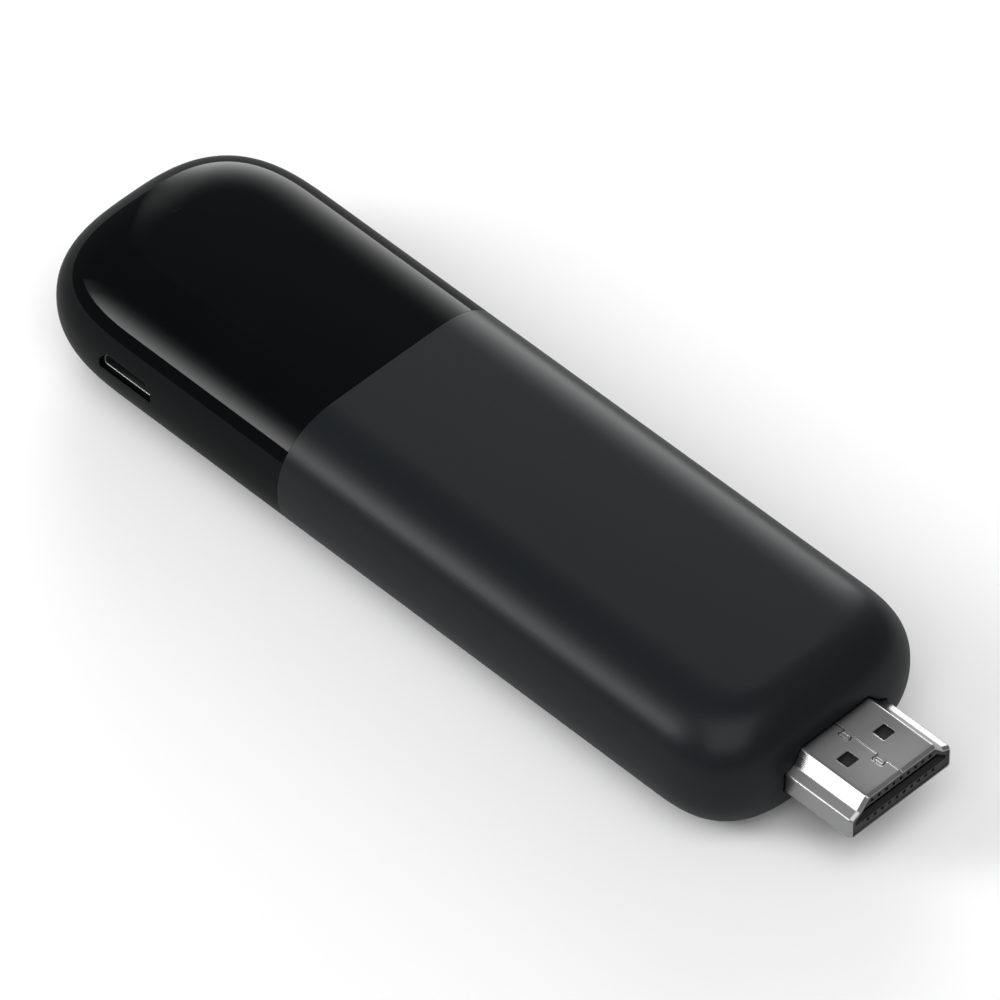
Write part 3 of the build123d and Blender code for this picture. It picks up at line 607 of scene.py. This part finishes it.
for name in ("plug_shell", "power_socket_shell"):
    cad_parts[name].material_slots[0].material = satin_nickel


# Plug insulator and socket tongue
# Black liquid-crystal polymer, filled with short glass and moulded hot in steel. The insulator is pressed
# into the plug's shell and carries its contacts in grooves, and the tongue does the same in the socket.

# The glass leaves pale flow marks in a dull grey-black that reflects little.
tree, place, black_polymer = new_material("glass_filled_black_polymer")
flow_mark, mark_depth = 0.35 * mm, 0.01 * mm
marks = add_node(tree, "ShaderNodeTexNoise", {}, {
    "Vector": place.outputs["Object"], "Scale": 1 / flow_mark, "Detail": 3.0, "Distortion": 0.6,
})
tone = add_node(tree, "ShaderNodeMix", {"data_type": "RGBA"}, {
    0: marks.outputs["Fac"], 6: linear("0A0A0B"), 7: linear("161618"),
})
dulling = add_node(tree, "ShaderNodeMapRange", {}, {
    "Value": marks.outputs["Fac"], "From Min": 0.3, "From Max": 0.7, "To Min": 0.5, "To Max": 0.62,
})
skin = add_node(tree, "ShaderNodeBump", {}, {
    "Height": marks.outputs["Fac"], "Strength": 0.3, "Distance": mark_depth,
})
finish_surface(tree, {
    "Base Color": tone.outputs[2], "Roughness": dulling.outputs["Result"], "Specular IOR Level": 0.35,
    "IOR": 1.5, "Normal": skin.outputs["Normal"],
})
for name in ("plug_insulator", "power_socket_tongue"):
    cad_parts[name].material_slots[0].material = black_polymer


# Contacts
# Springs and blades stamped from phosphor bronze strip and flashed with gold. They are pressed into the
# grooves of their insulators, and their tails are soldered to the board.

# A thin flash over stamped strip: warm yellow, satin, with the strip's lengthwise lines.
tree, place, gold_flash = new_material("gold_flashed_bronze")
strip_line, line_length = 0.08 * mm, 2 * mm
drawn_out = add_node(tree, "ShaderNodeMapping", {}, {
    "Vector": place.outputs["Object"], "Scale": (1 / line_length, 1 / strip_line, 1 / strip_line),
})
lines = add_node(tree, "ShaderNodeTexNoise", {}, {
    "Vector": drawn_out.outputs["Vector"], "Scale": 1.0, "Detail": 2.0,
})
tone = add_node(tree, "ShaderNodeMix", {"data_type": "RGBA"}, {
    0: lines.outputs["Fac"], 6: linear("B9924A"), 7: linear("D9B566"),
})
blur = add_node(tree, "ShaderNodeMapRange", {}, {
    "Value": lines.outputs["Fac"], "From Min": 0.3, "From Max": 0.7, "To Min": 0.26, "To Max": 0.4,
})
finish_surface(tree, {
    "Base Color": tone.outputs[2], "Metallic": 1.0, "Roughness": blur.outputs["Result"],
})
for name in ("wide_side_contacts", "narrow_side_contacts", "power_socket_contacts"):
    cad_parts[name].material_slots[0].material = gold_flash


# Tray and collar
# Grey glass-filled nylon, moulded. The tray slides into both shells and carries the board, and the collar
# clamps round the back of the plug.

# Glass fibres near the skin leave a dull streaked grey.
tree, place, filled_nylon = new_material("glass_filled_grey_nylon")
fibre_width, fibre_length, fibre_depth = 0.1 * mm, 0.9 * mm, 0.01 * mm
along_flow = add_node(tree, "ShaderNodeMapping", {}, {
    "Vector": place.outputs["Object"], "Scale": (1 / fibre_length, 1 / fibre_width, 1 / fibre_width),
})
fibres = add_node(tree, "ShaderNodeTexNoise", {}, {
    "Vector": along_flow.outputs["Vector"], "Scale": 1.0, "Detail": 3.0, "Distortion": 0.4,
})
tone = add_node(tree, "ShaderNodeMix", {"data_type": "RGBA"}, {
    0: fibres.outputs["Fac"], 6: linear("37383A"), 7: linear("4C4D50"),
})
dulling = add_node(tree, "ShaderNodeMapRange", {}, {
    "Value": fibres.outputs["Fac"], "From Min": 0.3, "From Max": 0.7, "To Min": 0.48, "To Max": 0.64,
})
skin = add_node(tree, "ShaderNodeBump", {}, {
    "Height": fibres.outputs["Fac"], "Strength": 0.4, "Distance": fibre_depth,
})
finish_surface(tree, {
    "Base Color": tone.outputs[2], "Roughness": dulling.outputs["Result"], "IOR": 1.53,
    "Normal": skin.outputs["Normal"],
})
for name in ("board_tray", "plug_collar"):
    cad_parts[name].material_slots[0].material = filled_nylon


# Circuit boards
# The main board and the small radio board soldered on it: glass cloth and epoxy, copper on both faces,
# and green solder mask over that. Screws hold the main board to the tray.

# On the faces the mask is glossy, lighter where copper runs under it, with tinned spots at the via holes.
# On the cut edges the bare laminate shows, a straw colour in thin layers.
tree, place, masked_laminate = new_material("solder_masked_glass_epoxy")
track_spacing, via_spacing, copper_height = 1.3 * mm, 2.2 * mm, 0.03 * mm
layer_thickness, layer_length = 0.18 * mm, 8 * mm
track_step, track_share, via_share, edge_tilt = 0.16, 0.07, 0.1, 0.5
tracks = add_node(tree, "ShaderNodeTexVoronoi", {"feature": "F1", "distance": "CHEBYCHEV"}, {
    "Vector": place.outputs["Object"], "Scale": 1 / track_spacing,
})
track_steps = add_node(tree, "ShaderNodeMath", {"operation": "PINGPONG"}, {
    0: tracks.outputs["Distance"], 1: track_step,
})
copper = add_node(tree, "ShaderNodeMath", {"operation": "LESS_THAN"}, {
    0: track_steps.outputs["Value"], 1: track_share,
})
mask = add_node(tree, "ShaderNodeMix", {"data_type": "RGBA"}, {
    0: copper.outputs["Value"], 6: linear("0B3A26"), 7: linear("14573A"),
})
across_board = add_node(tree, "ShaderNodeMapping", {}, {
    "Vector": place.outputs["Object"], "Scale": (1.0, 1.0, 0.0),
})
holes = add_node(tree, "ShaderNodeTexVoronoi", {"voronoi_dimensions": "2D"}, {
    "Vector": across_board.outputs["Vector"], "Scale": 1 / via_spacing, "Randomness": 0.8,
})
via = add_node(tree, "ShaderNodeMath", {"operation": "LESS_THAN"}, {
    0: holes.outputs["Distance"], 1: via_share,
})
face_colour = add_node(tree, "ShaderNodeMix", {"data_type": "RGBA"}, {
    0: via.outputs["Value"], 6: mask.outputs[2], 7: linear("B9BBB4"),
})
facing = add_node(tree, "ShaderNodeNewGeometry", {}, {})
facing_parts = add_node(tree, "ShaderNodeSeparateXYZ", {}, {"Vector": facing.outputs["Normal"]})
flatness = add_node(tree, "ShaderNodeMath", {"operation": "ABSOLUTE"}, {0: facing_parts.outputs["Z"]})
cut_edge = add_node(tree, "ShaderNodeMath", {"operation": "LESS_THAN"}, {
    0: flatness.outputs["Value"], 1: edge_tilt,
})
height = add_node(tree, "ShaderNodeMapping", {}, {
    "Vector": place.outputs["Object"], "Scale": (1 / layer_length, 1 / layer_length, 1 / layer_thickness),
})
layers = add_node(tree, "ShaderNodeTexNoise", {}, {"Vector": height.outputs["Vector"], "Scale": 1.0})
edge_colour = add_node(tree, "ShaderNodeMix", {"data_type": "RGBA"}, {
    0: layers.outputs["Fac"], 6: linear("8C7A45"), 7: linear("C8B77C"),
})
colour = add_node(tree, "ShaderNodeMix", {"data_type": "RGBA"}, {
    0: cut_edge.outputs["Value"], 6: face_colour.outputs[2], 7: edge_colour.outputs[2],
})
dulling = add_node(tree, "ShaderNodeMapRange", {}, {
    "Value": cut_edge.outputs["Value"], "To Min": 0.24, "To Max": 0.7,
})
rise = add_node(tree, "ShaderNodeBump", {}, {
    "Height": copper.outputs["Value"], "Strength": 0.5, "Distance": copper_height,
})
finish_surface(tree, {
    "Base Color": colour.outputs[2], "Metallic": via.outputs["Value"],
    "Roughness": dulling.outputs["Result"], "IOR": 1.52, "Normal": rise.outputs["Normal"],
})
for name in ("main_board", "radio_module"):
    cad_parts[name].material_slots[0].material = masked_laminate


# Board screws
# Four small cross-head screws of case-hardened steel, zinc-plated and passivated, driven through the board
# into the tray's bosses.

# Clear passivation over zinc is a cool silver that turns faintly blue and straw in clouds.
tree, place, passivated_zinc = new_material("passivated_zinc_plate")
passivation_cloud = 0.8 * mm
clouds = add_node(tree, "ShaderNodeTexNoise", {}, {
    "Vector": place.outputs["Object"], "Scale": 1 / passivation_cloud, "Detail": 2.0,
})
tone = add_node(tree, "ShaderNodeMix", {"data_type": "RGBA"}, {
    0: clouds.outputs["Fac"], 6: linear("A9B4C2"), 7: linear("C9C4AE"),
})
blur = add_node(tree, "ShaderNodeMapRange", {}, {
    "Value": clouds.outputs["Fac"], "From Min": 0.3, "From Max": 0.7, "To Min": 0.25, "To Max": 0.4,
})
finish_surface(tree, {
    "Base Color": tone.outputs[2], "Metallic": 1.0, "Roughness": blur.outputs["Result"],
})
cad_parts["board_screws"].material_slots[0].material = passivated_zinc


# Chips
# The processor, two memory chips, the flash chip and the power chip: silicon moulded in black epoxy and
# soldered to the board by balls or pads under them.

# Ground silica fills the epoxy, so its top is a fine dull charcoal. The real grain of about 0.03 mm is
# drawn at 0.12 mm.
tree, place, chip_epoxy = new_material("silica_filled_chip_epoxy")
drawn_silica, silica_depth = 0.12 * mm, 0.008 * mm
silica = add_node(tree, "ShaderNodeTexNoise", {}, {
    "Vector": place.outputs["Object"], "Scale": 1 / drawn_silica, "Detail": 2.0,
})
tone = add_node(tree, "ShaderNodeMix", {"data_type": "RGBA"}, {
    0: silica.outputs["Fac"], 6: linear("1A1A1C"), 7: linear("2B2B2D"),
})
skin = add_node(tree, "ShaderNodeBump", {}, {
    "Height": silica.outputs["Fac"], "Strength": 0.5, "Distance": silica_depth,
})
dulling = add_node(tree, "ShaderNodeMapRange", {}, {
    "Value": silica.outputs["Fac"], "From Min": 0.3, "From Max": 0.7, "To Min": 0.55, "To Max": 0.7,
})
finish_surface(tree, {
    "Base Color": tone.outputs[2], "Roughness": dulling.outputs["Result"], "IOR": 1.55,
    "Normal": skin.outputs["Normal"],
})
for name in ("processor", "memory_chips", "flash_chip", "power_chip"):
    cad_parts[name].material_slots[0].material = chip_epoxy


# Shields, radio can and crystals
# Tin-plated steel sheet, 0.2 mm, pressed: fences soldered round the chips with lids sprung over them, the
# can over the radio, and the cases of the two crystals.

# Bright tin freezes in soft grains, each a little duller or brighter than the next.
tree, place, tin_plate = new_material("bright_tin_plate")
spangle_width = 1.1 * mm
spangle = add_node(tree, "ShaderNodeTexVoronoi", {}, {
    "Vector": place.outputs["Object"], "Scale": 1 / spangle_width,
})
grain_tone = add_node(tree, "ShaderNodeSeparateColor", {}, {"Color": spangle.outputs["Color"]})
tone = add_node(tree, "ShaderNodeMix", {"data_type": "RGBA"}, {
    0: grain_tone.outputs["Red"], 6: linear("BEBFBD"), 7: linear("C6C6C4"),
})
blur = add_node(tree, "ShaderNodeMapRange", {}, {
    "Value": grain_tone.outputs["Green"], "To Min": 0.3, "To Max": 0.35,
})
finish_surface(tree, {
    "Base Color": tone.outputs[2], "Metallic": 1.0, "Roughness": blur.outputs["Result"],
})
for name in (
    "upper_shield_frame", "upper_shield_lid", "lower_shield_frame", "lower_shield_lid",
    "radio_can", "crystals",
):
    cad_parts[name].material_slots[0].material = tin_plate


# Inductors
# Two power inductors, coils pressed into blocks of iron and ferrite powder and soldered to the board.

# Pressed powder: dark grey, dull and visibly granular.
tree, place, pressed_ferrite = new_material("pressed_ferrite")
powder_grain, powder_pit = 0.15 * mm, 0.02 * mm
powder = add_node(tree, "ShaderNodeTexNoise", {}, {
    "Vector": place.outputs["Object"], "Scale": 1 / powder_grain, "Detail": 3.0, "Roughness": 0.7,
})
tone = add_node(tree, "ShaderNodeMix", {"data_type": "RGBA"}, {
    0: powder.outputs["Fac"], 6: linear("2C2C2F"), 7: linear("4B4B4E"),
})
pitted = add_node(tree, "ShaderNodeBump", {}, {
    "Height": powder.outputs["Fac"], "Strength": 0.7, "Distance": powder_pit,
})
finish_surface(tree, {
    "Base Color": tone.outputs[2], "Roughness": 0.75, "Normal": pitted.outputs["Normal"],
})
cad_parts["inductors"].material_slots[0].material = pressed_ferrite


# Capacitors
# Twenty-one small ceramic capacitors, barium titanate fired in layers and soldered to the board.

# Fired ceramic is a warm brown, faintly mottled, with a low sheen.
tree, place, fired_ceramic = new_material("fired_titanate_ceramic")
mottle_width = 0.25 * mm
mottle = add_node(tree, "ShaderNodeTexNoise", {}, {
    "Vector": place.outputs["Object"], "Scale": 1 / mottle_width, "Detail": 2.0,
})
tone = add_node(tree, "ShaderNodeMix", {"data_type": "RGBA"}, {
    0: mottle.outputs["Fac"], 6: linear("8A6A48"), 7: linear("A98A64"),
})
sheen = add_node(tree, "ShaderNodeMapRange", {}, {
    "Value": mottle.outputs["Fac"], "From Min": 0.3, "From Max": 0.7, "To Min": 0.36, "To Max": 0.5,
})
finish_surface(tree, {
    "Base Color": tone.outputs[2], "Roughness": sheen.outputs["Result"],
})
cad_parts["capacitors"].material_slots[0].material = fired_ceramic


# Thermal pads
# Soft silicone filled with ceramic powder, cut from sheet and squeezed between the chips, the shield lids
# and the heat spreaders.

# Chalky blue-grey, matte, with specks of the filler.
tree, place, filled_silicone = new_material("ceramic_filled_silicone")
filler_speck, speck_depth = 0.3 * mm, 0.03 * mm
specks = add_node(tree, "ShaderNodeTexNoise", {}, {
    "Vector": place.outputs["Object"], "Scale": 1 / filler_speck, "Detail": 4.0, "Roughness": 0.7,
})
tone = add_node(tree, "ShaderNodeMix", {"data_type": "RGBA"}, {
    0: specks.outputs["Fac"], 6: linear("7F8DA0"), 7: linear("A3AFBF"),
})
dimpled = add_node(tree, "ShaderNodeBump", {}, {
    "Height": specks.outputs["Fac"], "Strength": 0.5, "Distance": speck_depth,
})
finish_surface(tree, {
    "Base Color": tone.outputs[2], "Roughness": 0.85, "IOR": 1.41, "Normal": dimpled.outputs["Normal"],
})
for name in ("processor_pad", "flash_pad", "upper_thermal_pad", "lower_thermal_pad"):
    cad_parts[name].material_slots[0].material = filled_silicone


# Heat spreaders
# Two aluminium plates with shallow ribs, extruded and milled to length, that lie on the thermal pads and
# carry the heat along the stick.

# Extrusion leaves fine lines along the plate in a pale satin metal.
tree, place, extruded_aluminium = new_material("extruded_aluminium")
die_line, die_run, score_depth = 0.15 * mm, 30 * mm, 0.006 * mm
drawn_out = add_node(tree, "ShaderNodeMapping", {}, {
    "Vector": place.outputs["Object"], "Scale": (1 / die_run, 1 / die_line, 1 / die_line),
})
die_lines = add_node(tree, "ShaderNodeTexNoise", {}, {
    "Vector": drawn_out.outputs["Vector"], "Scale": 1.0, "Detail": 3.0,
})
tone = add_node(tree, "ShaderNodeMix", {"data_type": "RGBA"}, {
    0: die_lines.outputs["Fac"], 6: linear("BDBEC0"), 7: linear("D2D3D5"),
})
blur = add_node(tree, "ShaderNodeMapRange", {}, {
    "Value": die_lines.outputs["Fac"], "From Min": 0.3, "From Max": 0.7, "To Min": 0.28, "To Max": 0.42,
})
scored = add_node(tree, "ShaderNodeBump", {}, {
    "Height": die_lines.outputs["Fac"], "Strength": 0.5, "Distance": score_depth,
})
finish_surface(tree, {
    "Base Color": tone.outputs[2], "Metallic": 1.0, "Roughness": blur.outputs["Result"],
    "Normal": scored.outputs["Normal"],
})
for name in ("upper_heat_spreader", "lower_heat_spreader"):
    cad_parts[name].material_slots[0].material = extruded_aluminium


# Aerials
# Two small aerials stamped and folded from phosphor bronze strip, soldered to the board's tail end.

# Bare bronze strip, reddish, satin along its rolling lines and tarnished in faint patches.
tree, place, bronze_strip = new_material("rolled_phosphor_bronze")
tarnish_patch, rolled_line, rolled_run = 1.5 * mm, 0.1 * mm, 3 * mm
patches = add_node(tree, "ShaderNodeTexNoise", {}, {
    "Vector": place.outputs["Object"], "Scale": 1 / tarnish_patch, "Detail": 3.0,
})
drawn_out = add_node(tree, "ShaderNodeMapping", {}, {
    "Vector": place.outputs["Object"], "Scale": (1 / rolled_run, 1 / rolled_line, 1 / rolled_line),
})
lines = add_node(tree, "ShaderNodeTexNoise", {}, {
    "Vector": drawn_out.outputs["Vector"], "Scale": 1.0, "Detail": 2.0,
})
tone = add_node(tree, "ShaderNodeMix", {"data_type": "RGBA"}, {
    0: patches.outputs["Fac"], 6: linear("9C6B45"), 7: linear("C08C62"),
})
blur = add_node(tree, "ShaderNodeMapRange", {}, {
    "Value": lines.outputs["Fac"], "From Min": 0.3, "From Max": 0.7, "To Min": 0.28, "To Max": 0.42,
})
finish_surface(tree, {
    "Base Color": tone.outputs[2], "Metallic": 1.0, "Roughness": blur.outputs["Result"],
})
for name in ("left_aerial", "right_aerial"):
    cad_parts[name].material_slots[0].material = bronze_strip


# Floor and lamps
# A sheet of matte white paper under two graded softboxes, one behind the stick and one on its left, whose
# mirror images are the long highlights, with a plain overhead light and a dim grey room to fill the shade.
floor_reach = 12.0
floor_mesh = bpy.data.meshes.new("floor")
floor_mesh.from_pydata([
    (-floor_reach, -floor_reach, 0), (floor_reach, -floor_reach, 0),
    (floor_reach, floor_reach, 0), (-floor_reach, floor_reach, 0),
], [], [(0, 1, 2, 3)])
floor = bpy.data.objects.new("floor", floor_mesh)
bpy.context.scene.collection.objects.link(floor)

# The paper fades to plain white well beyond the stick, where the lamps no longer reach it.
tree, place, paper = new_material("matte_white_paper")
shader = add_node(tree, "ShaderNodeBsdfPrincipled", {}, {
    "Base Color": linear("F6F6F6"), "Roughness": 0.9, "Specular IOR Level": 0.0,
})
fade_start, fade_end = 0.5, 1.6
away = add_node(tree, "ShaderNodeVectorMath", {"operation": "LENGTH"}, {0: place.outputs["Object"]})
fade = add_node(tree, "ShaderNodeMapRange", {"interpolation_type": "SMOOTHSTEP"}, {
    "Value": away.outputs["Value"], "From Min": fade_start, "From Max": fade_end,
})
ray = add_node(tree, "ShaderNodeLightPath", {}, {})
mirrored = add_node(tree, "ShaderNodeMath", {"operation": "MAXIMUM"}, {
    0: ray.outputs["Is Glossy Ray"], 1: ray.outputs["Is Transmission Ray"],
})
seen = add_node(tree, "ShaderNodeMath", {"operation": "MAXIMUM"}, {
    0: ray.outputs["Is Camera Ray"], 1: mirrored.outputs["Value"],
})
share = add_node(tree, "ShaderNodeMath", {"operation": "MULTIPLY"}, {
    0: fade.outputs["Result"], 1: seen.outputs["Value"],
})
white = add_node(tree, "ShaderNodeEmission", {}, {"Strength": 1.0})
blend = add_node(tree, "ShaderNodeMixShader", {}, {
    0: share.outputs["Value"], 1: shader.outputs["BSDF"], 2: white.outputs["Emission"],
})
add_node(tree, "ShaderNodeOutputMaterial", {}, {"Surface": blend.outputs["Shader"]})
floor.data.materials.append(paper)


def softbox(name, azimuth, low, high, left, right, distance, peak):
    """A flat upright area lamp that fills a window of the sky, seen from the cap: between two elevations,
    and from one azimuth to another. Its radiance is its power over pi times its area."""
    turn = radians(azimuth)
    ahead = Vector((cos(turn), sin(turn), 0))
    across = Vector((-sin(turn), cos(turn), 0))
    low_z, high_z = distance * np.tan(radians(low)), distance * np.tan(radians(high))
    left_y, right_y = distance * np.tan(radians(left - azimuth)), distance * np.tan(radians(right - azimuth))
    lamp = bpy.data.lights.new(name, "AREA")
    lamp.shape = "RECTANGLE"
    lamp.size, lamp.size_y = abs(left_y - right_y), high_z - low_z
    lamp.energy = peak * pi * lamp.size * lamp.size_y
    lamp.use_nodes = True
    box = bpy.data.objects.new(name, lamp)
    bpy.context.scene.collection.objects.link(box)
    middle = (
        lamp_aim + ahead * distance + across * (left_y + right_y) / 2
        + Vector((0, 0, (low_z + high_z) / 2))
    )
    axes = Matrix((across, Vector((0, 0, 1)), ahead)).transposed()
    box.matrix_world = Matrix.Translation(middle) @ axes.to_4x4()
    box.visible_camera = False
    return lamp


def graded(lamp, *ramps):
    """Grades a lamp across its face. A ramp is the axis, 0 across or 1 up, and pairs of place and strength,
    and the strengths of all ramps are multiplied."""
    tree = lamp.node_tree
    tree.nodes.clear()
    face = add_node(tree, "ShaderNodeNewGeometry", {}, {})
    axes = add_node(tree, "ShaderNodeSeparateXYZ", {}, {"Vector": face.outputs["Parametric"]})
    strength = 1.0
    for axis, stops in ramps:
        ramp = add_node(tree, "ShaderNodeValToRGB", {}, {"Fac": axes.outputs[axis]})
        while len(ramp.color_ramp.elements) < len(stops):
            ramp.color_ramp.elements.new(0.5)
        for stop, (place, level) in zip(ramp.color_ramp.elements, stops):
            stop.position = place
            stop.color = (level, level, level, 1)
        strength = add_node(
            tree, "ShaderNodeMath", {"operation": "MULTIPLY"}, {0: ramp.outputs["Color"], 1: strength},
        ).outputs["Value"]
    light = add_node(tree, "ShaderNodeEmission", {}, {"Strength": strength})
    add_node(tree, "ShaderNodeOutputLight", {}, {"Surface": light.outputs["Emission"]})


# The housing's thin coats mirror little, so the two softboxes are strong.
lamp_gain = 5.2
lamp_aim = Vector((-35, 0, 10)) * mm
back_lamp = softbox(
    "back_softbox", azimuth=128, low=0.3, high=48, left=112, right=152, distance=1.0,
    peak=2.8 * lamp_gain,
)
graded(
    back_lamp,
    (1, [(0, 1), (0.14, 0.85), (0.24, 0.68), (0.345, 0.47), (0.457, 0.3), (0.585, 0.16), (0.73, 0.065),
         (0.88, 0.02), (1, 0)]),
    (0, [(0, 0.7), (0.22, 0.8), (0.5, 1), (0.73, 1), (1, 0)]),
)
left_lamp = softbox(
    "left_softbox", azimuth=238, low=21.3, high=61, left=200, right=246, distance=0.9,
    peak=3.6 * lamp_gain,
)
graded(
    left_lamp,
    (1, [(0, 1), (0.12, 0.67), (0.27, 0.34), (0.44, 0.14), (0.67, 0.06), (1, 0.01)]),
    (0, [(0, 0.03), (0.32, 0.14), (0.46, 0.42), (0.58, 0.67), (0.7, 0.91), (0.81, 1), (1, 0.75)]),
)
overhead_side = 1.5
overhead_power = 4.8 * pi
top_lamp = bpy.data.lights.new("overhead_softbox", "AREA")
top_lamp.shape = "SQUARE"
top_lamp.size = overhead_side
top_lamp.energy = overhead_power
overhead = bpy.data.objects.new("overhead_softbox", top_lamp)
overhead.visible_camera = False
bpy.context.scene.collection.objects.link(overhead)
overhead_place = Vector((0.55, -0.55, 1.4))
overhead_turn = overhead_place.to_track_quat("Z", "Y").to_matrix().to_4x4()
overhead.matrix_world = Matrix.Translation(overhead_place) @ overhead_turn

room_grey = 0.3
world = bpy.data.worlds.new("dim_studio")
world.use_nodes = True
world.node_tree.nodes["Background"].inputs["Color"].default_value = (room_grey, room_grey, room_grey, 1)
world.node_tree.nodes["Background"].inputs["Strength"].default_value = 1.0
bpy.context.scene.world = world
bpy.context.scene.view_settings.view_transform = "Standard"
